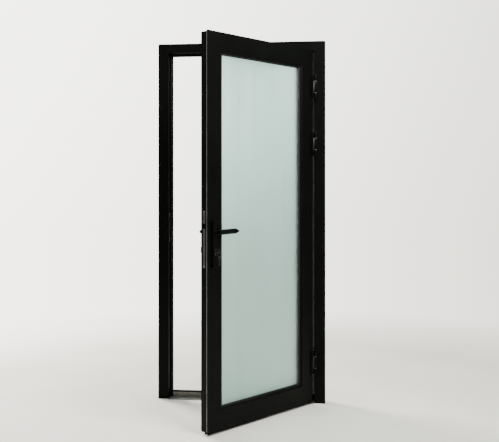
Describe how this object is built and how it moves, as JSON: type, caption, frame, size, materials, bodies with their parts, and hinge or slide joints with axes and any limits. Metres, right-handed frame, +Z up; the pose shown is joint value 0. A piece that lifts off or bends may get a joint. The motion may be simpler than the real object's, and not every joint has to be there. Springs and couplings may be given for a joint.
{
  "type": "glass door",
  "caption": "Single-leaf black aluminium swing door with a frosted double-glazed pane, in its frame with threshold, barrel hinges, lever handles and a keyed lock.",
  "frame": {"origin": "floor level under the threshold, at the middle of the frame's width and depth", "axes": "+Z up, +X towards the hinge jamb, -Y the side that the leaf opens towards; at rest the leaf stands 54.8 degrees open"},
  "size_m": [0.985, 0.7882, 2.1],
  "materials": {
    "frame_powder_coat": "satin powder coat",
    "leaf_powder_coat": "satin powder coat",
    "black_hardware": "matt powder coat",
    "anodised_aluminium": "satin anodised",
    "mill_aluminium": "mill finish",
    "black_rubber": "matt",
    "grey_rubber": "matt",
    "brush_pile": "woven pile",
    "satin_glass": "acid-etched on one side",
    "clear_glass": "clear float",
    "spacer_black": "matt",
    "block_plastic": "moulded",
    "hinge_nylon": "moulded",
    "steel": "brushed",
    "zinc_screws": "zinc plated",
    "nickel": "nickel plated"
  },
  "bodies": {
    "frame": {"lock_jamb": "frame_powder_coat", "hinge_jamb": "frame_powder_coat", "head": "frame_powder_coat", "threshold": "anodised_aluminium", "threshold_seal": "black_rubber", "frame_cleats": "mill_aluminium", "cleat_screws": "zinc_screws", "stop_gasket": "black_rubber", "hinge_side_gasket": "grey_rubber", "strike_plate": "steel", "strike_screws": "zinc_screws", "lower_hinge_frame_part": "black_hardware", "middle_hinge_frame_part": "black_hardware", "upper_hinge_frame_part": "black_hardware", "hinge_pins": "steel", "hinge_screws_frame": "black_hardware"},
    "leaf": {"lower_hinge_leaf_part": "black_hardware", "middle_hinge_leaf_part": "black_hardware", "upper_hinge_leaf_part": "black_hardware", "hinge_bushes": "hinge_nylon", "hinge_screws_leaf": "black_hardware", "lock_stile": "leaf_powder_coat", "hinge_stile": "leaf_powder_coat", "top_rail": "leaf_powder_coat", "bottom_rail": "leaf_powder_coat", "leaf_cleats": "mill_aluminium", "leaf_gasket": "grey_rubber", "bottom_carrier": "leaf_powder_coat", "bottom_brush": "brush_pile", "lock_side_bead": "leaf_powder_coat", "hinge_side_bead": "leaf_powder_coat", "top_bead": "leaf_powder_coat", "bottom_bead": "leaf_powder_coat", "outer_glazing_gasket": "black_rubber", "inner_glazing_gasket": "black_rubber", "outer_pane": "satin_glass", "inner_pane": "clear_glass", "spacer_bar": "spacer_black", "setting_blocks": "block_plastic", "lock_case": "steel", "faceplate": "steel", "faceplate_screws": "zinc_screws", "lock_blocks": "mill_aluminium", "follower_spring": "steel", "cylinder_body": "nickel", "cylinder_screw": "zinc_screws", "outer_backplate": "black_hardware", "inner_backplate": "black_hardware", "backplate_screws": "black_hardware"},
    "handle": {"outer_lever": "black_hardware", "inner_lever_and_spindle": "black_hardware", "follower": "steel"},
    "latch": {"latch_bolt": "black_hardware"},
    "deadbolt": {"deadbolt": "steel"},
    "key": {"cylinder_plug": "nickel", "cylinder_cam": "steel", "thumb_turn": "black_hardware", "key": "nickel", "key_ring": "nickel", "spare_key": "nickel"}
  },
  "joints": [
    {"name": "door_swing", "type": "hinge", "parent": "frame", "child": "leaf", "pos_m": [0.437, -0.044, 1], "axis": [0, 0, 1], "range_deg": [-54.8, 55.2]},
    {"name": "lever_turn", "type": "hinge", "parent": "leaf", "child": "handle", "pos_m": [-0.07365, -0.69156, 1.025], "axis": [-0.8171, 0.5764, 0], "range_deg": [0, 40], "stiffness_Nm_per_rad": 1.5, "springref_deg": -34.38},
    {"name": "latch_slide", "type": "slide", "parent": "leaf", "child": "latch", "axis": [0.5764, 0.8171, 0], "range_m": [0, 0.0141]},
    {"name": "key_turn", "type": "hinge", "parent": "leaf", "child": "key", "pos_m": [-0.07365, -0.69156, 0.933], "axis": [-0.8171, 0.5764, 0], "range_deg": [0, 360]},
    {"name": "deadbolt_slide", "type": "slide", "parent": "leaf", "child": "deadbolt", "axis": [-0.5764, -0.8171, 0], "range_m": [0, 0.0201]}
  ],
  "couplings": [
    {"joint": "latch_slide", "follows": "lever_turn", "m_per_rad": 0.020053},
    {"joint": "deadbolt_slide", "follows": "key_turn", "m_per_rad": 0.003182}
  ]
}
